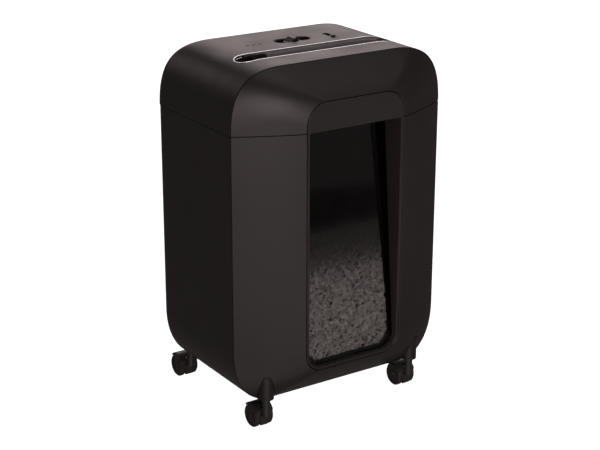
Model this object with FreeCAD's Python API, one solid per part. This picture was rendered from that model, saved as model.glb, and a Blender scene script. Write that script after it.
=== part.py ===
import FreeCAD, Part
import math
import os

V = FreeCAD.Vector

# Paper shredder on casters. Millimetres, floor at z = 0, front towards -Y, centred on x = 0.

# Body envelope
HALF_WIDTH = 177.5
BODY_BOTTOM = 44.0
BODY_TOP = 533.0
BOTTOM_CORNER = (61.0, 84.0, 0.62)
TOP_CORNER = (83.8, 88.0, 0.71)
RIM_Y = -97.0
BEZEL_Y = -141.2
BACK_Y = 118.7
BACK_ROUND = 26.0
SEAM_Z = 445.0
SEAM_GAP = 1.2
SEAM_LIP = 7.0
RIM_GAP = 1.5
WALL = 3.0
FASCIA_WALL = 2.4
CABINET_INSET = 0.8
BULGE_X = 5.0
BULGE_Z = 3.0
CREASE = 0.8

# Bezel: the frame round the window and the handle above it
BEZEL_HALF = 82.0
BEZEL_BOTTOM = 89.0
BEZEL_TOP = 486.0
BEZEL_LOW_CORNER = (28.0, 28.0, 0.5523)
BEZEL_HIGH_CORNER = (32.0, 32.0, 0.5523)
BEZEL_GAP = 0.7
BEZEL_EDGE = 1.1
LIP = 5.0
GLASS_DEPTH = 12.0
GLASS_DEPTH_Z = 124.0
GLASS_SLOPE = 27.0 / 306.0
GLASS = 2.5
GLASS_LEDGE = 1.5
GASKET = 3.0
GASKET_HALF_LOW = 73.5
GASKET_HALF_HIGH = 58.0
GASKET_LOW_Z = 99.0

# Waste bin
TUB_HALF = 165.0
TUB_BOTTOM = 57.2
TUB_TOP = 404.0
TUB_FRONT = -86.0
TUB_BACK = 108.0
TUB_WALL = 2.2
TUB_JOIN = 112.0
NOSE_HALF = 76.5
STEP_X = 112.0
STEP_Z = 90.0
PAPER_TOP = 286.0
RUNNER_X = 88.0

# Casters
CASTER_FRONT = (128.5, -106.3)
CASTER_REAR = (134.0, 104.0)
TRAIL = 20.0
WHEEL_R = 17.5
WHEEL_WIDTH = 8.6
WHEEL_OFFSET = 10.4
AXLE_R = 2.0
STEM_R = 4.0
STEM_LOW = 26.0
STEM_TOP = 61.0
NECK_R = 6.0
RUNNING = 0.05
SOCKET_R = 11.5
SOCKET_LOW = 50.0
SOCKET_DEEP = 5.0
SOCKET_TOP = 63.0
SOCKET_BACK = -88.0
SCALLOP_GAP = 0.8
SCALLOP_TOP = 86.0

# Paper entry
SLOT_Y = -33.3
SLOT_HALF = 129.5
SLOT_WIDTH = 39.0
TRIM = 1.7
TRIM_PROUD = 0.4
THROAT_LEFT = -94.0
THROAT_RIGHT = 124.0
THROAT = 6.0
THROAT_LOW = 499.0

# Cutting unit
BLOCK_X = 15.0
BLOCK_HALF = 113.0
SHAFT_Z = 478.0
SHAFT_SPACING = 34.0
SHAFT_R = 11.5
JOURNAL_R = 7.0
DISC_R = 18.8
DISC_PITCH = 8.0
DISC = 3.6
SIDE_PLATE = 3.0
SHAFT_A_Y = SLOT_Y + SHAFT_SPACING / 2
SHAFT_B_Y = SLOT_Y - SHAFT_SPACING / 2

# Gear train: teeth and modules
TIMING = (20, 1.7)
DRIVE = (40, 1.25)
SMALL = (12, 1.25)
LARGE = (48, 1.0)
PINION = (12, 1.0)
GEAR_BACKLASH = 0.12
REDUCTION_ANGLE = 8.0
MOTOR_ANGLE = -4.0
MOTOR_R = 27.0

# Controls on the top face
LAMP_X = (-72.7, -62.4, -51.4)
CONTROL_Y = 27.0
SWITCH_X = 3.0
SWITCH_LENGTH = 62.0
SWITCH_WIDTH = 27.0
SWITCH_SINK = 5.0
SWITCH_TRAVEL = 8.0
LOCK_X = 65.5
LOCK_Y = 21.0
LOCK_LENGTH = 33.0
LOCK_WIDTH = 9.0

# Back
GLAND_X = -120.0
GLAND_Z = 472.0
CORD_R = 3.6


# ---------------------------------------------------------------- helpers

def box(x0, x1, y0, y1, z0, z1):
    return Part.makeBox(x1 - x0, y1 - y0, z1 - z0, V(x0, y0, z0))


def rod_x(x0, x1, y, z, r):
    return Part.makeCylinder(r, x1 - x0, V(x0, y, z), V(1, 0, 0))


def rod_y(y0, y1, x, z, r):
    return Part.makeCylinder(r, y1 - y0, V(x, y0, z), V(0, 1, 0))


def rod_z(z0, z1, x, y, r):
    return Part.makeCylinder(r, z1 - z0, V(x, y, z0), V(0, 0, 1))


def line(a, b):
    return Part.LineSegment(a, b).toShape()


def bezier(poles):
    curve = Part.BezierCurve()
    curve.setPoles(poles)
    return curve.toShape()


def fuse(shapes):
    return shapes[0].multiFuse(shapes[1:]).removeSplitter()


def profile(half, bottom, top, low, high):
    """A rounded outline in the XZ plane; low and high are (span x, span z, fullness) of its corners."""
    return {"half": half, "bottom": bottom, "top": top, "low": low, "high": high}


def grown(p, d):
    """The outline moved outwards by d."""
    low = (p["low"][0] + d, p["low"][1] + d, p["low"][2])
    high = (p["high"][0] + d, p["high"][1] + d, p["high"][2])
    return profile(p["half"] + d, p["bottom"] - d, p["top"] + d, low, high)


def middle(a, b, bulge_x, bulge_z):
    """The outline half-way from a to b, pushed outwards and tighter at its upper corners."""
    low = [(u + v) / 2 for u, v in zip(a["low"], b["low"])]
    high = [(u + v) / 2 for u, v in zip(a["high"], b["high"])]
    high = [CREASE * high[0], CREASE * high[1], high[2]]
    half = (a["half"] + b["half"]) / 2 + bulge_x
    bottom = (a["bottom"] + b["bottom"]) / 2 - bulge_z
    top = (a["top"] + b["top"]) / 2 + bulge_z
    return profile(half, bottom, top, low, high)


def soft_corner(start, end, start_pull, end_pull):
    return bezier([start, start + start_pull, end + end_pull, end])


def outline(p, y):
    """The closed wire of an outline at depth y: four sides and four soft corners."""
    half, bottom, top = p["half"], p["bottom"], p["top"]
    lx, lz, lk = p["low"]
    hx, hz, hk = p["high"]
    z1, z2 = bottom + lz, top - hz
    low_x, high_x = half - lx, half - hx
    right = line(V(half, y, z1), V(half, y, z2))
    top_right = soft_corner(V(half, y, z2), V(high_x, y, top), V(0, 0, hk * hz), V(hk * hx, 0, 0))
    upper = line(V(high_x, y, top), V(-high_x, y, top))
    top_left = soft_corner(V(-high_x, y, top), V(-half, y, z2), V(-hk * hx, 0, 0), V(0, 0, hk * hz))
    left = line(V(-half, y, z2), V(-half, y, z1))
    low_left = soft_corner(V(-half, y, z1), V(-low_x, y, bottom), V(0, 0, -lk * lz), V(-lk * lx, 0, 0))
    lower = line(V(-low_x, y, bottom), V(low_x, y, bottom))
    low_right = soft_corner(V(low_x, y, bottom), V(half, y, z1), V(lk * lx, 0, 0), V(0, 0, -lk * lz))
    return Part.Wire([right, top_right, upper, top_left, left, low_left, lower, low_right])


def prism(p, y0, y1):
    """An outline extruded along Y."""
    return Part.Face(outline(p, y0)).extrude(V(0, y1 - y0, 0))


BODY = profile(HALF_WIDTH, BODY_BOTTOM, BODY_TOP, BOTTOM_CORNER, TOP_CORNER)
BEZEL = profile(BEZEL_HALF, BEZEL_BOTTOM, BEZEL_TOP, BEZEL_LOW_CORNER, BEZEL_HIGH_CORNER)
FAR = 400.0


def above(z):
    return box(-FAR, FAR, -FAR, FAR, z, z + 2 * FAR)


def below(z):
    return box(-FAR, FAR, -FAR, FAR, z - 2 * FAR, z)


def nose(inset):
    """The front: a convex blend from the body outline at the rim to the bezel outline."""
    rim = grown(BODY, -inset)
    bezel = grown(BEZEL, -inset)
    centre = middle(rim, bezel, BULGE_X, BULGE_Z)
    mid_y = (RIM_Y + BEZEL_Y + inset) / 2
    wires = [outline(rim, RIM_Y), outline(centre, mid_y), outline(bezel, BEZEL_Y + inset)]
    return Part.makeLoft(wires, True, False)


def wrap(inset, round_radius):
    """The body behind the rim, its back edge rounded."""
    solid = prism(grown(BODY, -inset), RIM_Y, BACK_Y - inset)
    edges = [e for e in solid.Edges if abs(e.BoundBox.YMin - (BACK_Y - inset)) < 0.01]
    return solid.makeFillet(round_radius, edges)


def wrap_shell(inset, wall):
    """A wall of the body behind the rim, open at the front."""
    outer = wrap(inset, BACK_ROUND - inset)
    shell = outer.cut(wrap(inset + wall, BACK_ROUND - inset - wall))
    return shell.cut(box(-FAR, FAR, -FAR, RIM_Y + RIM_GAP / 2, -FAR, 2 * FAR))


def tongue(inset, thick, reach):
    """The lip behind the fascia that enters the shell and closes the groove at the rim."""
    ring = prism(grown(BODY, -inset), RIM_Y - 6, RIM_Y + reach)
    ring = ring.cut(prism(grown(BODY, -inset - thick), RIM_Y - 7, RIM_Y + reach + 1))
    front = ring.common(nose(0.0))
    back = ring.cut(box(-FAR, FAR, -FAR, RIM_Y, -FAR, 2 * FAR))
    return front.fuse(back)


def bevel(p, y, size):
    """The short taper that bevels the front edge of an opening."""
    return Part.makeLoft([outline(grown(p, size), y - 0.01), outline(p, y + size)], True, True)


def fascia(lip):
    """The front shell with its rear lip and the sleeve round the bezel opening."""
    shell = nose(0.0).cut(nose(FASCIA_WALL))
    shell = shell.cut(box(-FAR, FAR, RIM_Y - RIM_GAP / 2, FAR, -FAR, 2 * FAR))
    sleeve = prism(grown(BEZEL, FASCIA_WALL), BEZEL_Y - 1, RIM_Y)
    sleeve = sleeve.common(nose(0.0))
    whole = fuse([shell, sleeve, lip])
    return whole.cut(prism(BEZEL, BEZEL_Y - 5, BACK_Y)).cut(bevel(BEZEL, BEZEL_Y, BEZEL_EDGE))


def stadium(half, width, y, z0, z1, centre_x=0.0):
    """An upright slot-shaped prism, round at both ends."""
    r = width / 2
    x0, x1 = centre_x - half + r, centre_x + half - r
    ends = [rod_z(z0, z1, x0, y, r), rod_z(z0, z1, x1, y, r)]
    return fuse([box(x0, x1, y - r, y + r, z0, z1)] + ends)


def slab(offset, thick):
    """A tilted slab parallel to the window: offset behind its front face, thick, wide and tall."""
    z0, z1 = 0.0, 600.0
    y0 = BEZEL_Y + GLASS_DEPTH + offset + (z0 - GLASS_DEPTH_Z) * GLASS_SLOPE
    y1 = BEZEL_Y + GLASS_DEPTH + offset + (z1 - GLASS_DEPTH_Z) * GLASS_SLOPE
    corners = [V(-FAR, y0, z0), V(-FAR, y1, z1), V(-FAR, y1 + thick, z1), V(-FAR, y0 + thick, z0)]
    face = Part.Face(Part.makePolygon(corners + corners[:1]))
    return face.extrude(V(2 * FAR, 0, 0))


def gear_outline(teeth, module, phase):
    """Points of an involute gear in its own plane; a tooth is centred on the phase angle."""
    pitch_r = teeth * module / 2
    base_r = pitch_r * math.cos(math.radians(20))
    tip_r = pitch_r + 0.7 * module
    root_r = pitch_r - 1.0 * module
    half_tooth = math.pi / (2 * teeth) - GEAR_BACKLASH / (2 * pitch_r)
    inv_pitch = math.tan(math.radians(20)) - math.radians(20)
    start_r = max(base_r, root_r)
    flank = []
    for step in range(5):
        r = start_r + (tip_r - start_r) * step / 4
        a = math.acos(min(1.0, base_r / r))
        flank.append((r, half_tooth + inv_pitch - (math.tan(a) - a)))
    if root_r < base_r:
        flank.insert(0, (root_r, flank[0][1]))
    points = []
    for tooth in range(teeth):
        centre = phase + 2 * math.pi * tooth / teeth
        points += [(r, centre - a) for r, a in flank]
        points += [(r, centre + a) for r, a in reversed(flank)]
    return points


def gear(spec, x0, x1, y, z, phase):
    """A spur gear on an axis along X."""
    points = [V(x0, y + r * math.cos(a), z + r * math.sin(a)) for r, a in gear_outline(*spec, phase)]
    return Part.Face(Part.makePolygon(points + points[:1])).extrude(V(x1 - x0, 0, 0))


def turned_x(points, x, y, z):
    """A solid of revolution about an axis along X; points are (along, radius)."""
    corners = [V(x + along, y, z + radius) for along, radius in points]
    face = Part.Face(Part.makePolygon(corners + corners[:1]))
    return face.revolve(V(x, y, z), V(1, 0, 0), 360)


def save(name, shape):
    shape.exportStep("parts/" + name + ".step")


# ---------------------------------------------------------------- housing

def caster_sites():
    for name_y, (place_x, y) in (("front", CASTER_FRONT), ("rear", CASTER_REAR)):
        for name_x, x in (("left", -place_x), ("right", place_x)):
            yield name_y + "_" + name_x, x, y


def socket_plan(x, y, grow, z0, z1):
    """The footprint of a front caster socket: round in front, straight sides back past the rim."""
    r = SOCKET_R + grow
    return fuse([rod_z(z0, z1, x, y, r), box(x - r, x + r, y, SOCKET_BACK + grow, z0, z1)])


def front_socket(x, y):
    """A column whose top follows the inside of the sloping front, and its foot in the cabinet floor."""
    column = socket_plan(x, y, 0.0, SOCKET_LOW, SCALLOP_TOP).cut(nose(SOCKET_DEEP))
    column = column.common(box(-FAR, FAR, -FAR, RIM_Y + RIM_GAP / 2, 0, FAR))
    foot = socket_plan(x, y, 0.0, 0.0, SOCKET_TOP).common(wrap(CABINET_INSET, BACK_ROUND - CABINET_INSET))
    foot = foot.common(box(-FAR, FAR, RIM_Y + RIM_GAP / 2, FAR, 0, FAR))
    return fuse([column, foot])


def rear_socket(x, y):
    """A plain column through the cabinet floor, with a recess below it for the neck of the caster."""
    column = rod_z(0.0, SOCKET_TOP, x, y, SOCKET_R).common(wrap(CABINET_INSET, BACK_ROUND - CABINET_INSET))
    return column.cut(rod_z(0.0, SOCKET_LOW, x, y, NECK_R + SCALLOP_GAP))


def caster_sockets():
    """The four bores for the caster stems; the front ones show in front of the rim."""
    sockets = []
    for _, x, y in caster_sites():
        socket = front_socket(x, y) if y < 0 else rear_socket(x, y)
        sockets.append(socket.cut(rod_z(SOCKET_LOW - 1, STEM_TOP + 0.5, x, y, STEM_R + RUNNING)))
    return Part.makeCompound(sockets)


def cabinet_shell():
    shell = wrap_shell(CABINET_INSET, WALL).common(below(SEAM_Z - SEAM_GAP / 2))
    shell = shell.cut(box(-121, 121, BACK_Y - 8, BACK_Y + 5, 110, 400))
    for _, x, y in caster_sites():
        if y < 0:
            shell = shell.cut(socket_plan(x, y, 0.0, 0.0, SOCKET_TOP))
        else:
            shell = shell.cut(rod_z(0.0, SOCKET_TOP, x, y, SOCKET_R))
    return shell


def back_panel():
    panel = box(-120.8, 120.8, BACK_Y - CABINET_INSET - WALL, BACK_Y - CABINET_INSET, 110.2, 399.8)
    for row in range(6):
        for side in (-1, 1):
            z = 330 + 8 * row
            panel = panel.cut(box(side * 60 - 35, side * 60 + 35, BACK_Y - 8, BACK_Y + 2, z, z + 3.2))
    return panel


def bin_runners():
    floor = BODY_BOTTOM + CABINET_INSET + WALL
    return Part.makeCompound([box(s * RUNNER_X - 7, s * RUNNER_X + 7, -80, 86, floor, TUB_BOTTOM - 0.3)
                              for s in (-1, 1)])


def head_base():
    """The floor of the head, with the chute under the cutters and a cut-out for the bezel."""
    low = SEAM_Z + SEAM_GAP / 2
    plate = wrap(WALL, BACK_ROUND - WALL).common(box(-FAR, FAR, RIM_Y + 9, FAR, low, low + WALL))
    plate = plate.cut(box(BLOCK_X - 110, BLOCK_X + 110, SLOT_Y - 32, SLOT_Y + 32, low - 1, low + 5))
    return plate.cut(box(-BEZEL_HALF - 1, BEZEL_HALF + 1, -FAR, -84, low - 1, low + 5))


def entry_hole(grow):
    return stadium(SLOT_HALF + grow, SLOT_WIDTH + 2 * grow, SLOT_Y, THROAT_LOW - 30, BODY_TOP + 10)


def head_top_cover():
    cover = wrap_shell(0.0, WALL).common(above(SEAM_Z + SEAM_GAP / 2))
    cover = cover.cut(entry_hole(0.0))
    top0, top1 = BODY_TOP - WALL - 1, BODY_TOP + 1
    switch = stadium(SWITCH_LENGTH / 2, SWITCH_WIDTH, CONTROL_Y, top0, top1, SWITCH_X)
    cover = cover.cut(switch)
    cover = cover.cut(box(LOCK_X - LOCK_WIDTH / 2, LOCK_X + LOCK_WIDTH / 2, LOCK_Y - LOCK_LENGTH / 2,
                          LOCK_Y + LOCK_LENGTH / 2, top0, top1))
    for x in LAMP_X:
        cover = cover.cut(stadium(2.6, 3.2, CONTROL_Y, top0, top1, x))
    for row in range(6):
        z = 462 + 7 * row
        cover = cover.cut(box(-60, 110, BACK_Y - 8, BACK_Y + 2, z, z + 3))
    return cover.cut(rod_y(BACK_Y - 8, BACK_Y + 2, GLAND_X, GLAND_Z, 8.0))


def seam_lip():
    """A lip that hangs behind the top of each pillar of the bin front and closes the seam."""
    deep = FASCIA_WALL + 0.4
    inner = nose(deep + 1.6)
    root = nose(FASCIA_WALL - 0.2).cut(inner).common(above(SEAM_Z + SEAM_GAP / 2)).common(below(SEAM_Z + 6))
    skirt = nose(deep).cut(inner).common(above(SEAM_Z - SEAM_LIP)).common(below(SEAM_Z + 6))
    pillars = [box(min(s * 88, s * 158), max(s * 88, s * 158), -FAR, RIM_Y - 1, 0, FAR) for s in (-1, 1)]
    return fuse([root, skirt]).common(fuse(pillars))


def head_front_fascia():
    lip = tongue(WALL + 0.1, 2.0, 8.0)
    upper = fascia(lip).common(above(SEAM_Z + SEAM_GAP / 2))
    return fuse([upper, seam_lip()])


def entry_slot_trim():
    """The bright ring round the entry, following the shoulders of the cover."""
    skin = prism(grown(BODY, TRIM_PROUD), RIM_Y, BACK_Y - 40)
    skin = skin.cut(prism(grown(BODY, -WALL), RIM_Y - 1, BACK_Y - 39))
    ring = entry_hole(0.0).cut(entry_hole(-TRIM))
    return skin.common(ring)


def entry_guide():
    """The funnel that leads paper into the cutters, and a pocket at its left end."""
    body = entry_hole(-TRIM - 0.1).common(above(THROAT_LOW))
    body = body.common(prism(grown(BODY, -3.2), RIM_Y, BACK_Y - 40))
    r = SLOT_WIDTH / 2 - TRIM - 2.5
    top, low = BODY_TOP + 1, THROAT_LOW + 10
    mouth = [V(THROAT_LEFT, SLOT_Y - r, top), V(THROAT_LEFT, SLOT_Y + r, top),
             V(THROAT_LEFT, SLOT_Y + THROAT / 2, low), V(THROAT_LEFT, SLOT_Y + THROAT / 2, THROAT_LOW - 1),
             V(THROAT_LEFT, SLOT_Y - THROAT / 2, THROAT_LOW - 1), V(THROAT_LEFT, SLOT_Y - THROAT / 2, low)]
    funnel = Part.Face(Part.makePolygon(mouth + mouth[:1])).extrude(V(THROAT_RIGHT - THROAT_LEFT, 0, 0))
    pocket = entry_hole(-TRIM - 1.6).common(box(-FAR, THROAT_LEFT - 2.5, -FAR, FAR, THROAT_LOW + 6, top))
    return body.cut(funnel).cut(pocket)


def gland():
    body = rod_y(BACK_Y - 12, BACK_Y + 4, GLAND_X, GLAND_Z, 7.9)
    flange = rod_y(BACK_Y, BACK_Y + 4, GLAND_X, GLAND_Z, 11.0)
    nut = rod_y(BACK_Y - 7, BACK_Y - WALL, GLAND_X, GLAND_Z, 11.0)
    return fuse([body, flange, nut]).cut(rod_y(BACK_Y - 13, BACK_Y + 5, GLAND_X, GLAND_Z, CORD_R))


def head_screws():
    """Screws up through the head floor, and four that hold the back panel."""
    low = SEAM_Z + SEAM_GAP / 2
    screws = []
    for x in (-150, 150):
        for y in (-70, 60):
            head = rod_z(low + WALL, low + WALL + 2.5, x, y, 3.5)
            screws.append(head)
    for x in (-112, 112):
        for z in (120, 390):
            screws.append(rod_y(BACK_Y - CABINET_INSET, BACK_Y + 1, x, z, 3.5))
    return Part.makeCompound(screws)


# ---------------------------------------------------------------- controls

def control_surround():
    """The sunk track of the mode switch."""
    low, high = BODY_TOP - 9, BODY_TOP - 0.3
    outer = stadium(SWITCH_LENGTH / 2 - 0.1, SWITCH_WIDTH - 0.2, CONTROL_Y, low, high, SWITCH_X)
    floor = BODY_TOP - SWITCH_SINK
    inner = stadium(SWITCH_LENGTH / 2 - 2.0, SWITCH_WIDTH - 4.0, CONTROL_Y, floor, BODY_TOP, SWITCH_X)
    reach = SWITCH_TRAVEL + 4.5
    stem_slot = stadium(reach, 5.0, CONTROL_Y, BODY_TOP - 12, BODY_TOP, SWITCH_X)
    return outer.cut(inner).cut(stem_slot)


def mode_switch_knob():
    """A low saddle with a peaked grip across it, and the stem to the switch below."""
    low = BODY_TOP - SWITCH_SINK + 0.3
    base = stadium(13.0, 20.0, CONTROL_Y, low, low + 2.6, SWITCH_X)
    peak = [V(SWITCH_X - 8, CONTROL_Y - 9, low + 2.6), V(SWITCH_X + 8, CONTROL_Y - 9, low + 2.6),
            V(SWITCH_X + 1.6, CONTROL_Y - 9, low + 8.4), V(SWITCH_X - 1.6, CONTROL_Y - 9, low + 8.4)]
    grip = Part.Face(Part.makePolygon(peak + peak[:1])).extrude(V(0, 18, 0))
    stem = rod_z(BODY_TOP - 15, low + 0.5, SWITCH_X, CONTROL_Y, 2.2)
    return fuse([base, grip, stem])


def switch_body():
    """The electrical switch, hung from the track by a post at each end."""
    body = box(SWITCH_X - 22, SWITCH_X + 22, CONTROL_Y - 6, CONTROL_Y + 6, BODY_TOP - 21.4, BODY_TOP - 15.4)
    posts = [box(SWITCH_X + s * 18 - 3, SWITCH_X + s * 18 + 3, CONTROL_Y - 6, CONTROL_Y + 6,
                 BODY_TOP - 16, BODY_TOP - 9) for s in (-1, 1)]
    return fuse([body] + posts)


def safety_lock_slider():
    z = BODY_TOP - WALL
    y = LOCK_Y - LOCK_LENGTH / 2 + 8.2
    plate = box(LOCK_X - 7, LOCK_X + 7, y - 9, y + 9, z - 2.2, z - 0.2)
    tab = box(LOCK_X - 2.9, LOCK_X + 2.9, y - 7, y + 7, z - 0.5, z + 3.4)
    ridge = box(LOCK_X - 2.9, LOCK_X + 2.9, y - 1.5, y + 1.5, z + 3, z + 5.2)
    return fuse([plate, tab, ridge])


def indicator_lenses():
    low = BODY_TOP - WALL - 4
    return Part.makeCompound([stadium(2.5, 3.0, CONTROL_Y, low, BODY_TOP - 0.2, x) for x in LAMP_X])


def control_board():
    z = BODY_TOP - WALL - 4
    return box(-82, -36, CONTROL_Y - 14, CONTROL_Y + 20, z - 1.6, z)


# ---------------------------------------------------------------- cutting unit

def disc_places(shift):
    count = int((2 * BLOCK_HALF - 10) / DISC_PITCH)
    start = BLOCK_X - count * DISC_PITCH / 2 + shift
    return [start + DISC_PITCH * i for i in range(count)]


def cutter_discs(y, shift, lean):
    """A stack of hooked cutting discs, each turned a little from the one before."""
    discs = []
    hooks = 8
    for i, x in enumerate(disc_places(shift)):
        points = []
        for h in range(hooks):
            a = 2 * math.pi * h / hooks + lean * i
            for r, offset in ((DISC_R, 0.0), (DISC_R - 2.6, 0.12 * lean / abs(lean))):
                points.append(V(x, y + r * math.cos(a + offset), SHAFT_Z + r * math.sin(a + offset)))
        disc = Part.Face(Part.makePolygon(points + points[:1])).extrude(V(DISC, 0, 0))
        discs.append(disc.cut(rod_x(x - 1, x + DISC + 1, y, SHAFT_Z, SHAFT_R)))
    return Part.makeCompound(discs)


def cutter_shaft(y, x0, x1):
    left, right = BLOCK_X - BLOCK_HALF, BLOCK_X + BLOCK_HALF
    core = rod_x(left + 0.6, right - 0.6, y, SHAFT_Z, SHAFT_R)
    journal = rod_x(x0, x1, y, SHAFT_Z, JOURNAL_R)
    return fuse([core, journal])


def side_plate(side, back_y):
    x0 = BLOCK_X + side * BLOCK_HALF
    x1 = x0 + side * SIDE_PLATE
    low = SEAM_Z + SEAM_GAP / 2 + WALL
    plate = box(min(x0, x1), max(x0, x1), SLOT_Y - 42, back_y, low, THROAT_LOW - 1)
    for y in (SHAFT_A_Y, SHAFT_B_Y):
        plate = plate.cut(rod_x(min(x0, x1) - 1, max(x0, x1) + 1, y, SHAFT_Z, JOURNAL_R + 3))
    return plate


def shaft_bushes():
    bushes = []
    for side in (-1, 1):
        x0 = BLOCK_X + side * BLOCK_HALF
        x1 = x0 + side * SIDE_PLATE
        for y in (SHAFT_A_Y, SHAFT_B_Y):
            ring = rod_x(min(x0, x1), max(x0, x1), y, SHAFT_Z, JOURNAL_R + 3)
            bushes.append(ring.cut(rod_x(min(x0, x1) - 1, max(x0, x1) + 1, y, SHAFT_Z, JOURNAL_R + RUNNING)))
    return Part.makeCompound(bushes)


def stripper_combs():
    """Two combs whose teeth reach between the discs from outside and keep them clean."""
    combs = []
    left, right = BLOCK_X - BLOCK_HALF, BLOCK_X + BLOCK_HALF
    for y, shift, side in ((SHAFT_A_Y, 0.0, 1), (SHAFT_B_Y, DISC_PITCH / 2, -1)):
        y0, y1 = sorted((y + side * 21, y + side * 24))
        pieces = [box(left, right, y0, y1, SHAFT_Z - 6, SHAFT_Z + 6)]
        y0, y1 = sorted((y + side * 12.5, y + side * 22))
        for x in disc_places(shift)[:-1]:
            gap0 = x + DISC + 0.6
            pieces.append(box(gap0, x + DISC_PITCH - 0.6, y0, y1, SHAFT_Z - 4, SHAFT_Z + 4))
        combs.append(fuse(pieces))
    return Part.makeCompound(combs)


def tie_rods():
    """The rods between the side plates, and the pin that carries the reduction gear."""
    left, right = BLOCK_X - BLOCK_HALF, BLOCK_X + BLOCK_HALF
    rods = [rod_x(left, right, SLOT_Y + s * 37, 455, 3.5) for s in (-1, 1)]
    return Part.makeCompound(rods + [reduction_pin()])


def axis_towards(y, z, distance, degrees):
    a = math.radians(degrees)
    return y + distance * math.cos(a), z + distance * math.sin(a)


RIGHT_OUT = BLOCK_X + BLOCK_HALF + SIDE_PLATE
LEFT_OUT = BLOCK_X - BLOCK_HALF - SIDE_PLATE
DRIVE_SPACING = (DRIVE[0] + SMALL[0]) * DRIVE[1] / 2
MOTOR_SPACING = (LARGE[0] + PINION[0]) * LARGE[1] / 2
RED_Y, RED_Z = axis_towards(SHAFT_A_Y, SHAFT_Z, DRIVE_SPACING, REDUCTION_ANGLE)
MOTOR_Y, MOTOR_Z = axis_towards(RED_Y, RED_Z, MOTOR_SPACING, MOTOR_ANGLE)
DRIVE_X = (RIGHT_OUT + 1.5, RIGHT_OUT + 9.5)
LARGE_X = (RIGHT_OUT + 11.0, RIGHT_OUT + 17.0)


def timing_gear(y, tooth_angle):
    x0, x1 = LEFT_OUT - 10.5, LEFT_OUT - 1.5
    wheel = gear(TIMING, x0, x1, y, SHAFT_Z, tooth_angle)
    return wheel.cut(rod_x(x0 - 1, x1 + 1, y, SHAFT_Z, JOURNAL_R))


def drive_gear():
    x0, x1 = DRIVE_X
    wheel = gear(DRIVE, x0, x1, SHAFT_A_Y, SHAFT_Z, math.radians(REDUCTION_ANGLE))
    return wheel.cut(rod_x(x0 - 1, x1 + 1, SHAFT_A_Y, SHAFT_Z, JOURNAL_R))


def reduction_gear():
    small_phase = math.radians(REDUCTION_ANGLE) + math.pi + math.pi / SMALL[0]
    small = gear(SMALL, DRIVE_X[0], LARGE_X[0] + 0.5, RED_Y, RED_Z, small_phase)
    large = gear(LARGE, LARGE_X[0], LARGE_X[1], RED_Y, RED_Z, math.radians(MOTOR_ANGLE))
    return fuse([small, large]).cut(rod_x(DRIVE_X[0] - 1, LARGE_X[1] + 1, RED_Y, RED_Z, 3.0 + RUNNING))


def side_plate_left():
    return side_plate(-1, SLOT_Y + 42)


def side_plate_right():
    """The plate on the drive side also carries the reduction pin and the motor."""
    x0, x1 = RIGHT_OUT - SIDE_PLATE - 1, RIGHT_OUT + 1
    plate = side_plate(1, MOTOR_Y + 20)
    return plate.cut(rod_x(x0, x1, RED_Y, RED_Z, 3.0)).cut(rod_x(x0, x1, MOTOR_Y, MOTOR_Z, 4.0))


def reduction_pin():
    return rod_x(RIGHT_OUT - SIDE_PLATE, LARGE_X[1] + 1.5, RED_Y, RED_Z, 3.0)


def motor_pinion():
    phase = math.radians(MOTOR_ANGLE) + math.pi + math.pi / PINION[0]
    pinion = gear(PINION, LARGE_X[0] - 1, LARGE_X[1], MOTOR_Y, MOTOR_Z, phase)
    spindle = rod_x(RIGHT_OUT - SIDE_PLATE - 12, LARGE_X[1], MOTOR_Y, MOTOR_Z, 2.5)
    return fuse([pinion, spindle])


def motor():
    x1 = RIGHT_OUT - SIDE_PLATE
    can = rod_x(x1 - 96, x1 - 2, MOTOR_Y, MOTOR_Z, MOTOR_R)
    face = rod_x(x1 - 3, x1, MOTOR_Y, MOTOR_Z, 12.0)
    tail = rod_x(x1 - 103, x1 - 96, MOTOR_Y, MOTOR_Z, 9.0)
    tray = SEAM_Z + SEAM_GAP / 2 + WALL
    feet = box(x1 - 80, x1 - 20, MOTOR_Y - 16, MOTOR_Y + 16, tray, MOTOR_Z - MOTOR_R + 6)
    return fuse([can, face, tail, feet]).cut(rod_x(x1 - 14, x1 + 1, MOTOR_Y, MOTOR_Z, 2.5 + RUNNING))


def interlock_switch():
    """The switch that stops the cutters when the bin is out."""
    low = SEAM_Z + SEAM_GAP / 2 + WALL
    return box(-140, -112, -80, -66, low, low + 12)


# ---------------------------------------------------------------- waste bin

def bin_front():
    lip = tongue(WALL + CABINET_INSET + 1.0, 2.0, 8.0)
    front = fascia(lip).common(below(SEAM_Z - SEAM_GAP / 2))
    for _, x, y in caster_sites():
        if y < 0:
            r = SOCKET_R + SCALLOP_GAP
            front = front.cut(socket_plan(x, y, SCALLOP_GAP, 0.0, SCALLOP_TOP + 1))
            front = front.cut(box(x - r, x + r, SOCKET_BACK - 2, 0.0, 0.0, SCALLOP_TOP + 1))
    return front


def glass_zone(grow, z_top):
    """The upright prism that the glass and its ledges are cut from."""
    return prism(grown(BEZEL, -LIP + grow), BEZEL_Y - 1, 0.0).common(below(z_top))


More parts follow.
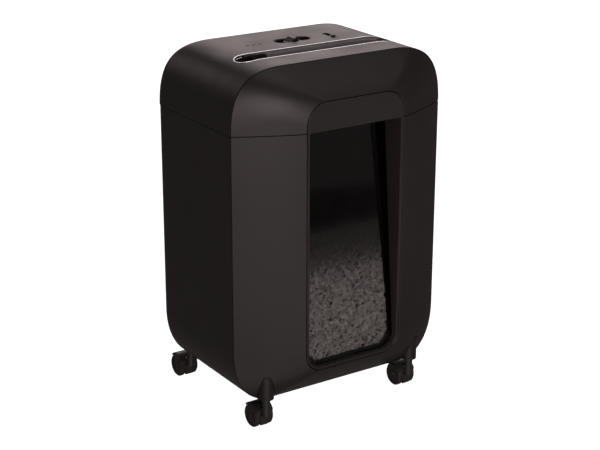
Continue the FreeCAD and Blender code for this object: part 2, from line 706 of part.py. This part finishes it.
def bezel_frame():
    """Lip, deep cheeks and hollow handle; the back edge runs parallel to the tilted window."""
    frame = prism(grown(BEZEL, -BEZEL_GAP), BEZEL_Y, RIM_Y + 20)
    front_edges = [e for e in frame.Edges if abs(e.BoundBox.YMax - BEZEL_Y) < 0.01]
    frame = frame.makeFillet(BEZEL_EDGE, front_edges)
    frame = frame.cut(slab(GLASS + GASKET, 200.0))
    frame = frame.cut(prism(grown(BEZEL, -LIP), BEZEL_Y - 1, RIM_Y + 30).common(below(SEAM_Z)))
    frame = frame.cut(bevel(grown(BEZEL, -LIP), BEZEL_Y, BEZEL_EDGE).common(below(SEAM_Z)))
    grip = prism(grown(BEZEL, -LIP), BEZEL_Y + WALL, RIM_Y + 30).common(above(SEAM_Z - 1))
    frame = frame.cut(grip.cut(slab(0.0, 200.0)))
    return frame.cut(glass_zone(GLASS_LEDGE, SEAM_Z).common(slab(0.0, GLASS)))


def bin_window():
    return glass_zone(GLASS_LEDGE, SEAM_Z).common(slab(0.0, GLASS))


def window_gasket():
    """The black seal behind the window; its opening narrows towards the top."""
    plate = glass_zone(0.0, SEAM_Z).common(slab(GLASS, GASKET))
    z1 = SEAM_Z - 6
    corners = [V(-GASKET_HALF_LOW, 0, GASKET_LOW_Z + 16), V(-GASKET_HALF_LOW + 16, 0, GASKET_LOW_Z),
               V(GASKET_HALF_LOW - 16, 0, GASKET_LOW_Z), V(GASKET_HALF_LOW, 0, GASKET_LOW_Z + 16),
               V(GASKET_HALF_HIGH, 0, z1), V(-GASKET_HALF_HIGH, 0, z1)]
    opening = Part.Face(Part.makePolygon(corners + corners[:1])).extrude(V(0, -FAR, 0))
    return plate.cut(opening)


TUB = profile(TUB_HALF, TUB_BOTTOM, TUB_TOP + 100, (58.0, 76.0, 0.62), (20.0, 20.0, 0.5523))
TUB_NOSE = profile(NOSE_HALF, BEZEL_BOTTOM + 5.5, SEAM_Z + 60, (24.0, 24.0, 0.5523), (20.0, 20.0, 0.5523))


def tub_solid(inset, y_front, z_top):
    """The bin's volume: a wide box, stepped up to pass over the caster sockets, and a nose to the window."""
    wide = prism(grown(TUB, -inset), y_front + inset, TUB_BACK - inset)
    for side in (-1, 1):
        x0, x1 = sorted((side * (STEP_X - inset), side * 200))
        wide = wide.cut(box(x0, x1, -FAR, FAR, 0, STEP_Z + inset))
    narrow = prism(grown(TUB_NOSE, -inset), BEZEL_Y, TUB_FRONT + 20).cut(slab(-200.0, 200.0 + GLASS + GASKET))
    return fuse([wide, narrow]).common(below(z_top))


def tub_walls():
    tub = tub_solid(0.0, TUB_FRONT, TUB_TOP)
    return tub.cut(tub_solid(TUB_WALL, TUB_FRONT, TUB_TOP + 1))


def bin_tub():
    """The straight upper walls, with a grip cut into the back one."""
    rear_grip = box(-60, 60, TUB_BACK - 5, TUB_BACK + 5, TUB_TOP - 18, TUB_TOP + 5)
    return tub_walls().cut(below(TUB_JOIN)).cut(rear_grip)


def bin_tub_base():
    """The floor of the tub and the stepped walls over the caster sockets."""
    return tub_walls().common(below(TUB_JOIN))


def shredded_paper():
    """The heap of clippings as one plain closed solid."""
    return tub_solid(TUB_WALL + 0.4, TUB_FRONT, PAPER_TOP).cut(slab(-200.0, 200.4 + GLASS + GASKET))


# ---------------------------------------------------------------- casters

def caster_wheel(x, y, side):
    half = WHEEL_WIDTH / 2
    bore = AXLE_R + RUNNING
    outside = [(half, bore), (half, 5.0), (half - 1.0, 6.5), (half - 1.0, 12.0), (half, 13.2),
               (half, 15.6), (half - 1.9, WHEEL_R)]
    inside = [(-half + 1.9, WHEEL_R), (-half, 15.6), (-half, bore)]
    points = [(side * along, radius) for along, radius in outside + inside]
    return turned_x(points, x + side * WHEEL_OFFSET, y + TRAIL, WHEEL_R)


def caster_hood(x, y):
    """The body between the twin wheels, with a mudguard over them and a neck round the stem."""
    wy = y + TRAIL
    web = WHEEL_OFFSET - WHEEL_WIDTH / 2 - 0.5
    outer = WHEEL_OFFSET + WHEEL_WIDTH / 2 - 1.0
    guard = rod_x(x - outer, x + outer, wy, WHEEL_R, WHEEL_R + 2.6)
    guard = guard.cut(rod_x(x - outer - 1, x + outer + 1, wy, WHEEL_R, WHEEL_R + 0.7))
    guard = guard.common(box(x - FAR, x + FAR, wy - 16.5, wy + 14.0, WHEEL_R + 7, FAR))
    web_disc = rod_x(x - web, x + web, wy, WHEEL_R, WHEEL_R + 1.5)
    web_disc = web_disc.common(box(x - web, x + web, wy - 15.0, wy + 13.0, 5.0, FAR))
    bridge = box(x - web, x + web, y, wy, 22.0, WHEEL_R + 16)
    neck = rod_z(22.0, SOCKET_LOW - 0.4, x, y, NECK_R)
    wheel_room = rod_x(x - 40, x + 40, wy, WHEEL_R, WHEEL_R + 0.7)
    wheel_room = wheel_room.cut(box(x - web, x + web, -FAR, FAR, 0, FAR))
    hood = fuse([web_disc, guard, bridge, neck.cut(wheel_room)])
    hood = hood.cut(rod_x(x - web - 1, x + web + 1, wy, WHEEL_R, AXLE_R))
    return hood.cut(rod_z(STEM_LOW, SOCKET_LOW, x, y, STEM_R))


def caster_stem(x, y):
    return rod_z(STEM_LOW, STEM_TOP, x, y, STEM_R)


def caster_axle(x, y):
    reach = WHEEL_OFFSET + WHEEL_WIDTH / 2 - 0.8
    return rod_x(x - reach, x + reach, y + TRAIL, WHEEL_R, AXLE_R)


# ---------------------------------------------------------------- assembly

def main():
    os.makedirs("parts", exist_ok=True)
    single = {
        "cabinet_shell": cabinet_shell, "caster_sockets": caster_sockets, "back_panel": back_panel,
        "bin_runners": bin_runners, "head_base": head_base, "head_top_cover": head_top_cover, "head_front_fascia": head_front_fascia,
        "entry_slot_trim": entry_slot_trim, "entry_guide": entry_guide, "cord_gland": gland,
        "head_screws": head_screws, "control_surround": control_surround,
        "mode_switch_knob": mode_switch_knob, "mode_switch_body": switch_body,
        "safety_lock_slider": safety_lock_slider, "indicator_lenses": indicator_lenses,
        "control_board": control_board, "shaft_bushes": shaft_bushes, "stripper_combs": stripper_combs,
        "tie_rods": tie_rods, "drive_gear": drive_gear, "reduction_gear": reduction_gear,
        "side_plate_left": side_plate_left, "side_plate_right": side_plate_right,
        "motor_pinion": motor_pinion, "motor": motor, "interlock_switch": interlock_switch, "bin_front": bin_front,
        "bezel_frame": bezel_frame, "bin_window": bin_window, "window_gasket": window_gasket,
        "bin_tub": bin_tub, "bin_tub_base": bin_tub_base, "shredded_paper": shredded_paper,
    }
    for name, make in single.items():
        save(name, make())
    save("cutter_shaft_rear", cutter_shaft(SHAFT_A_Y, LEFT_OUT - 12, DRIVE_X[1] + 1))
    save("cutter_shaft_front", cutter_shaft(SHAFT_B_Y, LEFT_OUT - 12, RIGHT_OUT + 1))
    save("cutter_discs_rear", cutter_discs(SHAFT_A_Y, 0.0, 0.1))
    save("cutter_discs_front", cutter_discs(SHAFT_B_Y, DISC_PITCH / 2, -0.1))
    save("timing_gear_rear", timing_gear(SHAFT_A_Y, math.pi))
    save("timing_gear_front", timing_gear(SHAFT_B_Y, math.pi / TIMING[0]))
    for site, x, y in caster_sites():
        save("caster_hood_" + site, caster_hood(x, y))
        save("caster_stem_" + site, caster_stem(x, y))
        save("caster_axle_" + site, caster_axle(x, y))
        save("wheel_" + site + "_a", caster_wheel(x, y, -1))
        save("wheel_" + site + "_b", caster_wheel(x, y, 1))


main()
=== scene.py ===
"""Looks of the paper shredder: materials, clippings, camera and studio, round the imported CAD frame."""
import bpy
import math
import random
from mathutils import Matrix, Vector


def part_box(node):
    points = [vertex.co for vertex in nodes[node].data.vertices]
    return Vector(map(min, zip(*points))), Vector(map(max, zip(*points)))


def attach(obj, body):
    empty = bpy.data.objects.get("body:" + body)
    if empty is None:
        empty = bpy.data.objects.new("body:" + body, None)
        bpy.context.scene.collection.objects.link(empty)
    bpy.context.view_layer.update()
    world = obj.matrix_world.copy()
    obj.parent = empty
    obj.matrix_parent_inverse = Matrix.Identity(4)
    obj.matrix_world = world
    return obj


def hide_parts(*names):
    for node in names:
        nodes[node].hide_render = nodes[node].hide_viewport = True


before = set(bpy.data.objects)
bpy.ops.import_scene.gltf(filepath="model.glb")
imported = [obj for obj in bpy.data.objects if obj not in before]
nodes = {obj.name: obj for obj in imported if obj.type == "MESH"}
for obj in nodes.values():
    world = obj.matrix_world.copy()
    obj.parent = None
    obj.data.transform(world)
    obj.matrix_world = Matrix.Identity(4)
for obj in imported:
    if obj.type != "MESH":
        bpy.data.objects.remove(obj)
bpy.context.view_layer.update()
scene = bpy.context.scene

# Lengths are in metres and angles in degrees

# Camera
CAMERA_AT = (-1.1736, -1.7708, 1.0148)
CAMERA_AZIMUTH = -33.586
CAMERA_ELEVATION = 19.626
CAMERA_ROLL = 0.166
CAMERA_LENS = 90.79
CAMERA_SHIFT_X = -0.0024
CAMERA_REACH = 100.0

# Softboxes: place, point faced, width, height, power
LIGHTS = {
    "front_left": ((-0.85, -2.3, 0.62), (-0.1, -0.1, 0.25), 1.6, 1.2, 22.5),
    "front_right": ((1.25, -2.3, 0.75), (0.0, -0.1, 0.4), 1.5, 0.9, 4.9),
    "overhead": ((0.5, -0.75, 2.3), (0.0, -0.1, 0.4), 1.6, 1.6, 6.0),
    "back": ((1.7, 2.4, 1.35), (0.0, 0.0, 0.5), 2.2, 1.2, 12.2),
    "back_left": ((-1.0, 2.5, 1.9), (0.0, 0.0, 0.5), 1.6, 1.2, 3.8),
    "floor_bounce": ((0.1, -0.85, 0.004), (0.1, -0.85, 1.0), 1.9, 0.9, 2.6),
    "window_card": ((0.82, -1.55, 0.2), (-0.03, -0.11, 0.38), 0.46, 0.28, 0.085),
    "floor_glow": ((-0.4, -0.7, -0.5), (-0.13, -0.12, 0.1), 1.0, 0.6, 1.2),
}
WARM = (1.0, 0.86, 0.85)
ROOM = 0.115
FLOOR_SIZE = 60

# The shell's plastic, from its darker to its lighter tone
SHELL_DARK = (0.0095, 0.0078, 0.0074)
SHELL_LIGHT = (0.0125, 0.0104, 0.0099)

# Painted shade: the entry guide is painted black left of this X, in the pocket
POCKET_SHADE_EDGE = -0.0705
POCKET_SHADE_BLUR = 0.0008

# Painted light: the bezel is made lighter behind this Y, on the cheeks of the recess
CHEEK_LIGHT_EDGE = -0.1405
CHEEK_LIGHT_BLUR = 0.001
CHEEK_LIGHT_GAIN = 3.2

# Painted shade: the window's dull black band at its sides begins where |x| + lean * z passes the edge
SHADE_BAND_LEAN = 0.0453
SHADE_BAND_EDGE = 0.0786
SHADE_BAND_BLUR = 0.0006

# Heights between which painted shade deepens towards the top: the window darkens and the paper turns grey
SHADE_SMOKE_FROM, SHADE_SMOKE_TO = 0.22, 0.296
PAPER_SHADE_FROM, PAPER_SHADE_TO = 0.16, 0.286

# Heap of clippings
CLIPPINGS_FRONT = 2300
CLIPPINGS_TOP = 5200
HEAP_INSET = 0.003
HEAP_FRONT_INSET = 0.0085
WINDOW_THICK = 0.0025
GASKET_BACK = 0.0034
NOSE_HALF = 0.0735
SHOULDER_Y = -0.0835
PRESSED_DEPTH = 0.006

# One clipping
STRIP_LENGTH = (0.008, 0.02)
STRIP_WIDTH = (0.0025, 0.0045)
STRIP_TILT = 0.5
STRIP_BEND = 0.5
STRIP_TWIST = 0.9
STRIP_STEPS = 4

EDGE_ANGLE = 30


# ---------------------------------------------------------------- camera and studio

def add_camera():
    """The viewpoint: azimuth turns about Z from straight in front, elevation looks down."""
    az, el, roll = (math.radians(a) for a in (CAMERA_AZIMUTH, CAMERA_ELEVATION, CAMERA_ROLL))
    back = Vector((math.sin(az) * math.cos(el), -math.cos(az) * math.cos(el), math.sin(el)))
    level = Vector((0, 0, 1)).cross(back).normalized()
    upright = back.cross(level)
    right = level * math.cos(roll) + upright * math.sin(roll)
    up = back.cross(right)
    camera = bpy.data.objects.new("camera", bpy.data.cameras.new("camera"))
    turn = Matrix((right, up, back)).transposed().to_4x4()
    camera.matrix_world = Matrix.Translation(CAMERA_AT) @ turn
    camera.data.lens = CAMERA_LENS
    camera.data.sensor_width = 36.0
    camera.data.shift_x = CAMERA_SHIFT_X
    camera.data.clip_end = CAMERA_REACH
    scene.collection.objects.link(camera)
    scene.camera = camera


def softbox(name, at, towards, width, height, power):
    """A rectangular area light that faces a point."""
    light = bpy.data.lights.new(name, "AREA")
    light.shape = "RECTANGLE"
    light.size = width
    light.size_y = height
    light.energy = power
    light.color = WARM
    holder = bpy.data.objects.new(name, light)
    holder.location = at
    holder.rotation_euler = (Vector(towards) - Vector(at)).to_track_quat("-Z", "Y").to_euler()
    holder.visible_camera = False
    scene.collection.objects.link(holder)


def add_world():
    """White behind the object, and a low warm light on it from all round."""
    world = bpy.data.worlds.new("studio")
    scene.world = world
    world.use_nodes = True
    tree = world.node_tree
    tree.nodes.clear()
    out = tree.nodes.new("ShaderNodeOutputWorld")
    mix = tree.nodes.new("ShaderNodeMixShader")
    ray = tree.nodes.new("ShaderNodeLightPath")
    room = tree.nodes.new("ShaderNodeBackground")
    backdrop = tree.nodes.new("ShaderNodeBackground")
    room.inputs["Color"].default_value = (*WARM, 1)
    room.inputs["Strength"].default_value = ROOM
    backdrop.inputs["Color"].default_value = (1, 1, 1, 1)
    tree.links.new(ray.outputs["Is Camera Ray"], mix.inputs[0])
    tree.links.new(room.outputs[0], mix.inputs[1])
    tree.links.new(backdrop.outputs[0], mix.inputs[2])
    tree.links.new(mix.outputs[0], out.inputs[0])


def add_floor():
    """A white floor with no shading of its own, which neither lights nor shades the object."""
    bpy.ops.mesh.primitive_plane_add(size=FLOOR_SIZE)
    floor = bpy.context.object
    floor.name = "floor"
    material, _, shader = new_material("floor_white")
    shader.inputs["Base Color"].default_value = (0.8, 0.8, 0.8, 1)
    shader.inputs["Roughness"].default_value = 0.9
    shader.inputs["Emission Color"].default_value = (1, 1, 1, 1)
    shader.inputs["Emission Strength"].default_value = 1.0
    floor.data.materials.append(material)
    floor.visible_glossy = False
    floor.visible_diffuse = False
    floor.visible_shadow = False


def add_studio():
    """A pale floor, a white backdrop, the softboxes and a low room light."""
    add_world()
    for name, (at, towards, width, height, power) in LIGHTS.items():
        softbox(name, at, towards, width, height, power)
    add_floor()
    scene.view_settings.view_transform = "Standard"


# ---------------------------------------------------------------- shader nodes

def new_material(name):
    material = bpy.data.materials.new(name)
    material.use_nodes = True
    return material, material.node_tree, material.node_tree.nodes["Principled BSDF"]


def place(tree):
    """Object coordinates: metres in the part's own frame."""
    return tree.nodes.new("ShaderNodeTexCoord").outputs["Object"]


def along(tree, at, axis):
    """One coordinate of a place."""
    node = tree.nodes.new("ShaderNodeSeparateXYZ")
    tree.links.new(at, node.inputs[0])
    return node.outputs[axis]


def noise(tree, vector, scale, detail=2.0):
    node = tree.nodes.new("ShaderNodeTexNoise")
    node.inputs["Scale"].default_value = scale
    node.inputs["Detail"].default_value = detail
    tree.links.new(vector, node.inputs["Vector"])
    return node.outputs["Fac"]


def spread(tree, value, low, high, start=0.3, end=0.7):
    """Maps a value between start and end to a range, and holds it there outside them."""
    node = tree.nodes.new("ShaderNodeMapRange")
    node.inputs["From Min"].default_value = start
    node.inputs["From Max"].default_value = end
    node.inputs["To Min"].default_value = low
    node.inputs["To Max"].default_value = high
    tree.links.new(value, node.inputs["Value"])
    return node.outputs["Result"]


def maths(tree, operation, *values):
    """A math node, fed with sockets or plain numbers."""
    node = tree.nodes.new("ShaderNodeMath")
    node.operation = operation
    for slot, value in zip(node.inputs, values):
        if isinstance(value, float):
            slot.default_value = value
        else:
            tree.links.new(value, slot)
    return node.outputs[0]


def tone(tree, value, dark, light):
    """A colour between two tones, driven by a value."""
    node = tree.nodes.new("ShaderNodeValToRGB")
    node.color_ramp.elements[0].position = 0.3
    node.color_ramp.elements[0].color = (*dark, 1)
    node.color_ramp.elements[1].position = 0.7
    node.color_ramp.elements[1].color = (*light, 1)
    tree.links.new(value, node.inputs[0])
    return node.outputs["Color"]


def scaled(tree, colour, factor):
    """A colour times a value."""
    node = tree.nodes.new("ShaderNodeVectorMath")
    node.operation = "SCALE"
    tree.links.new(colour, node.inputs[0])
    tree.links.new(factor, node.inputs["Scale"])
    return node.outputs[0]


def bump(tree, shader, height, strength, distance):
    node = tree.nodes.new("ShaderNodeBump")
    node.inputs["Strength"].default_value = strength
    node.inputs["Distance"].default_value = distance
    tree.links.new(height, node.inputs["Height"])
    tree.links.new(node.outputs["Normal"], shader.inputs["Normal"])


# ---------------------------------------------------------------- materials

def moulded(name, dark, light, rough, ior=1.46):
    """Injection-moulded plastic: a fine spark-eroded grain, faint handling marks in the gloss."""
    material, tree, shader = new_material(name)
    at = place(tree)
    tree.links.new(tone(tree, noise(tree, at, 9.0, 4.0), dark, light), shader.inputs["Base Color"])
    marks = noise(tree, at, 22.0, 5.0)
    tree.links.new(spread(tree, marks, rough - 0.035, rough + 0.035), shader.inputs["Roughness"])
    shader.inputs["IOR"].default_value = ior
    bump(tree, shader, noise(tree, at, 1400.0, 3.0), 0.35, 0.00006)
    return material


def bezel_plastic():
    """The shell's plastic, made lighter on the cheeks inside the recess: painted light."""
    material = moulded("bezel_plastic", SHELL_DARK, SHELL_LIGHT, 0.36)
    tree = material.node_tree
    colour = tree.nodes["Principled BSDF"].inputs["Base Color"]
    depth = along(tree, place(tree), "Y")
    # Painted light: the colour is scaled up behind the recess edge, on the cheeks
    painted_light = spread(tree, depth, 1.0, CHEEK_LIGHT_GAIN, CHEEK_LIGHT_EDGE, CHEEK_LIGHT_EDGE + CHEEK_LIGHT_BLUR)
    tree.links.new(scaled(tree, colour.links[0].from_socket, painted_light), colour)
    return material


def entry_plastic():
    """The guide's plastic, painted black and dull left of the pocket's edge: painted shade of the deep
    pocket at the left end of the entry.
    """
    material, tree, shader = new_material("guide_plastic")
    at = place(tree)
    x = along(tree, at, "X")
    edge = (POCKET_SHADE_EDGE - POCKET_SHADE_BLUR, POCKET_SHADE_EDGE + POCKET_SHADE_BLUR)
    grain = tone(tree, noise(tree, at, 9.0, 4.0), (0.15, 0.14, 0.138), (0.17, 0.16, 0.158))
    # Painted shade: near-black colour and dull roughness left of the pocket's edge
    tree.links.new(scaled(tree, grain, spread(tree, x, 0.02, 1.0, *edge)), shader.inputs["Base Color"])
    tree.links.new(spread(tree, x, 0.95, 0.45, *edge), shader.inputs["Roughness"])
    shader.inputs["IOR"].default_value = 1.46
    bump(tree, shader, noise(tree, at, 1400.0, 3.0), 0.35, 0.00006)
    return material


def brushed(name, dark, light, rough):
    """Rolled or turned steel with fine lines along X."""
    material, tree, shader = new_material(name)
    mapping = tree.nodes.new("ShaderNodeMapping")
    mapping.inputs["Scale"].default_value = (1.0, 40.0, 40.0)
    tree.links.new(place(tree), mapping.inputs["Vector"])
    lines = noise(tree, mapping.outputs[0], 60.0, 4.0)
    tree.links.new(tone(tree, lines, dark, light), shader.inputs["Base Color"])
    tree.links.new(spread(tree, lines, rough - 0.08, rough + 0.08), shader.inputs["Roughness"])
    shader.inputs["Metallic"].default_value = 1.0
    bump(tree, shader, lines, 0.25, 0.00005)
    return material


def smoked_window():
    """Smoked clear plastic with painted shade: darker towards the top, and a dull black band without
    reflection at its sides.
    """
    material, tree, shader = new_material("smoked_window")
    at = place(tree)
    height = along(tree, at, "Z")
    aside = maths(tree, "ABSOLUTE", along(tree, at, "X"))
    lean = maths(tree, "MULTIPLY_ADD", height, SHADE_BAND_LEAN, aside)
    # Painted shade: a dull black band at the window's sides, opaque and without reflection
    band_shade = spread(tree, lean, 0.0, 1.0, SHADE_BAND_EDGE, SHADE_BAND_EDGE + SHADE_BAND_BLUR)
    # Painted shade: the window grows more opaque towards the top
    smoke_shade = spread(tree, height, 0.35, 0.86, SHADE_SMOKE_FROM, SHADE_SMOKE_TO)
    dust = noise(tree, at, 30.0, 5.0)
    colour = tone(tree, dust, (0.0008, 0.0007, 0.0006), (0.0014, 0.0012, 0.0011))
    tree.links.new(colour, shader.inputs["Base Color"])
    tree.links.new(maths(tree, "MAXIMUM", smoke_shade, band_shade), shader.inputs["Alpha"])
    tree.links.new(spread(tree, band_shade, 0.5, 0.0, 0.0, 1.0), shader.inputs["Specular IOR Level"])
    dull = maths(tree, "MAXIMUM", spread(tree, dust, 0.05, 0.09), band_shade)
    tree.links.new(dull, shader.inputs["Roughness"])
    shader.inputs["IOR"].default_value = 1.36
    bump(tree, shader, noise(tree, at, 5.0, 1.0), 0.08, 0.0008)
    return material


def paper(name, dark, light):
    """Uncoated office paper with faint grey print and fibre, with painted shade darkening it towards the
    top of the heap.
    """
    material, tree, shader = new_material(name)
    at = place(tree)
    # Painted shade: the paper's colour falls towards the top of the heap
    height_shade = spread(tree, along(tree, at, "Z"), 1.0, 0.45, PAPER_SHADE_FROM, PAPER_SHADE_TO)
    print_and_fibre = tone(tree, noise(tree, at, 160.0, 2.0), dark, light)
    tree.links.new(scaled(tree, print_and_fibre, height_shade), shader.inputs["Base Color"])
    tree.links.new(spread(tree, noise(tree, at, 500.0, 2.0), 0.75, 0.95), shader.inputs["Roughness"])
    bump(tree, shader, noise(tree, at, 2600.0, 2.0), 0.3, 0.00004)
    return material


def assign(material, *names):
    """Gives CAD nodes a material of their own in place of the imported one."""
    for name in names:
        slots = nodes[name].data.materials
        slots.clear()
        slots.append(material)


def dress_shell():
    assign(moulded("graphite_plastic", SHELL_DARK, SHELL_LIGHT, 0.40),
           "cabinet_shell", "head_top_cover", "head_front_fascia", "bin_front", "caster_sockets",
           "control_surround", "mode_switch_body")
    assign(bezel_plastic(), "bezel_frame")
    assign(moulded("back_plastic", (0.008, 0.007, 0.0066), (0.011, 0.0095, 0.009), 0.5),
           "back_panel", "cord_gland")
    assign(moulded("inner_plastic", (0.006, 0.0055, 0.005), (0.009, 0.008, 0.0075), 0.55),
           "head_base", "bin_runners", "bin_tub", "bin_tub_base")
    assign(moulded("black_plastic", (0.004, 0.0036, 0.0034), (0.006, 0.0055, 0.005), 0.34),
           "mode_switch_knob", "safety_lock_slider", "interlock_switch")
    assign(moulded("seal_black", (0.0006, 0.0006, 0.0006), (0.001, 0.001, 0.001), 0.9),
           "window_gasket")
    assign(moulded("lens", (0.002, 0.002, 0.002), (0.003, 0.003, 0.003), 0.75, ior=1.01),
           "indicator_lenses")
    assign(entry_plastic(), "entry_guide")
    assign(brushed("silver_trim", (0.90, 0.96, 0.96), (0.94, 1.0, 1.0), 0.2), "entry_slot_trim")
    assign(smoked_window(), "bin_window")


def dress_works():
    assign(moulded("gear_plastic", (0.55, 0.52, 0.46), (0.68, 0.65, 0.58), 0.4),
           "timing_gear_rear", "timing_gear_front", "drive_gear", "reduction_gear", "stripper_combs")
    assign(moulded("board", (0.01, 0.06, 0.025), (0.015, 0.08, 0.03), 0.35), "control_board")
    assign(brushed("pinion_steel", (0.3, 0.3, 0.3), (0.42, 0.42, 0.42), 0.4), "motor_pinion")
    assign(brushed("motor_can", (0.1, 0.1, 0.11), (0.16, 0.16, 0.17), 0.45), "motor")
    assign(brushed("bush_brass", (0.5, 0.36, 0.14), (0.62, 0.46, 0.2), 0.35), "shaft_bushes")


def dress_steel_and_casters():
    sites = ["front_left", "front_right", "rear_left", "rear_right"]
    assign(moulded("caster_plastic", (0.02, 0.018, 0.0175), (0.027, 0.0245, 0.024), 0.38),
           *["caster_hood_" + site for site in sites])
    assign(moulded("wheel_nylon", (0.013, 0.0115, 0.011), (0.018, 0.016, 0.0155), 0.45),
           *["wheel_%s_%s" % (site, side) for site in sites for side in "ab"])
    assign(brushed("steel", (0.34, 0.34, 0.34), (0.5, 0.5, 0.5), 0.35),
           "side_plate_left", "side_plate_right", "cutter_shaft_rear", "cutter_shaft_front",
           "cutter_discs_rear", "cutter_discs_front", "tie_rods", "head_screws",
           *["caster_stem_" + site for site in sites], *["caster_axle_" + site for site in sites])


# ---------------------------------------------------------------- clippings

def heap_core(material):
    """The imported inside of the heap: the CAD solid drawn in from its box on every side."""
    mesh = nodes["shredded_paper"].data.copy()
    core = bpy.data.objects.new("clippings_core", mesh)
    scene.collection.objects.link(core)
    mesh.materials.clear()
    mesh.materials.append(material)
    low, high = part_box("shredded_paper")
    centre = (low + high) / 2
    for vertex in mesh.vertices:
        front = HEAP_FRONT_INSET if vertex.co.y < centre.y else HEAP_INSET
        vertex.co += Vector((math.copysign(HEAP_INSET, centre.x - vertex.co.x),
                             math.copysign(front, centre.y - vertex.co.y),
                             math.copysign(HEAP_INSET, centre.z - vertex.co.z)))
    return core


def strip(verts, faces, at, normal, rng, keep):
    """One clipping: a curled, twisted ribbon lying roughly across the normal."""
    length = rng.uniform(*STRIP_LENGTH)
    width = rng.uniform(*STRIP_WIDTH)
    side = Vector((rng.uniform(-1, 1), rng.uniform(-1, 1), rng.uniform(-1, 1)))
    lengthwise = normal.cross(side).normalized()
    across = lengthwise.cross(normal).normalized()
    tilt = rng.gauss(0, STRIP_TILT)
    across = across * math.cos(tilt) + normal * math.sin(tilt)
    bend = rng.gauss(0, STRIP_BEND)
    twist = rng.gauss(0, STRIP_TWIST)
    first = len(verts)
    for i in range(STRIP_STEPS + 1):
        t = i / STRIP_STEPS - 0.5
        turn = twist * t
        edge = (across * math.cos(turn) + normal * math.sin(turn)) * width / 2
        point = at + lengthwise * (t * length) + normal * (bend * (0.25 - t * t) * length)
        verts += [keep(point - edge), keep(point + edge)]
    for i in range(STRIP_STEPS):
        a = first + 2 * i
        faces.append((a, a + 1, a + 3, a + 2))


def clippings(name, count, seed, sample, keep, material):
    """Many clippings as one mesh: sample gives a place and a normal, keep holds a point inside the bin."""
    rng = random.Random(seed)
    verts, faces = [], []
    for _ in range(count):
        at, normal = sample(rng)
        strip(verts, faces, at, normal, rng, keep)
    mesh = bpy.data.meshes.new(name)
    mesh.from_pydata([tuple(v) for v in verts], [], faces)
    mesh.materials.append(material)
    piece = bpy.data.objects.new(name, mesh)
    scene.collection.objects.link(piece)
    return piece


def window_plane():
    """The back of the window as y = a + b z, from the two ends of its box."""
    low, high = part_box("bin_window")
    slope = (high.y - low.y - WINDOW_THICK) / (high.z - low.z)
    return low.y + WINDOW_THICK - slope * low.z, slope


def add_clippings():
    """The heap: a layer pressed against the window, a loose layer on top, and the core under both."""
    low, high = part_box("shredded_paper")
    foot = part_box("bin_window")[0].z
    a, b = window_plane()
    facing = Vector((0, -1, b)).normalized()

    def keep(point):
        """Behind the seal in the nose of the bin, behind its front wall elsewhere, inside the box."""
        front = a + b * point.z + GASKET_BACK if abs(point.x) < NOSE_HALF else SHOULDER_Y
        return Vector((min(max(point.x, low.x), high.x),
                       min(max(point.y, front, low.y), high.y),
                       min(max(point.z, low.z), high.z)))

    def pressed(rng):
        x = rng.uniform(-NOSE_HALF, NOSE_HALF)
        z = foot + 0.003 + (high.z - 0.002 - foot) * rng.random() ** 0.92
        y = a + b * z + GASKET_BACK + rng.random() ** 1.5 * PRESSED_DEPTH
        return Vector((x, y, z)), facing

    def loose(rng):
        x = rng.uniform(low.x * 0.98, high.x * 0.98)
        front = a + b * high.z + 0.006 if abs(x) < NOSE_HALF - 0.004 else SHOULDER_Y + 0.004
        y = rng.uniform(front, high.y - 0.004)
        return Vector((x, y, high.z - rng.uniform(0.0005, 0.006))), Vector((0, 0, 1))

    white = paper("clippings", (0.4, 0.39, 0.38), (0.98, 0.96, 0.93))
    # A darker copy of the paper: painted shade on the inside of the heap
    core_shade_paper = paper("clippings_shade", (0.12, 0.115, 0.11), (0.32, 0.31, 0.3))
    for piece in (heap_core(core_shade_paper),
                  clippings("clippings_front", CLIPPINGS_FRONT, 11, pressed, keep, white),
                  clippings("clippings_top", CLIPPINGS_TOP, 12, loose, keep, white)):
        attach(piece, "bin")
        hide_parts("shredded_paper")


# ---------------------------------------------------------------- whole

def smooth_curves():
    """Soft shading on every CAD piece, with its true edges kept sharp."""
    for piece in nodes.values():
        piece.data.shade_smooth()
        modifier = piece.modifiers.new("edges", "EDGE_SPLIT")
        modifier.split_angle = math.radians(EDGE_ANGLE)


add_camera()
add_studio()
dress_shell()
dress_works()
dress_steel_and_casters()
add_clippings()
smooth_curves()
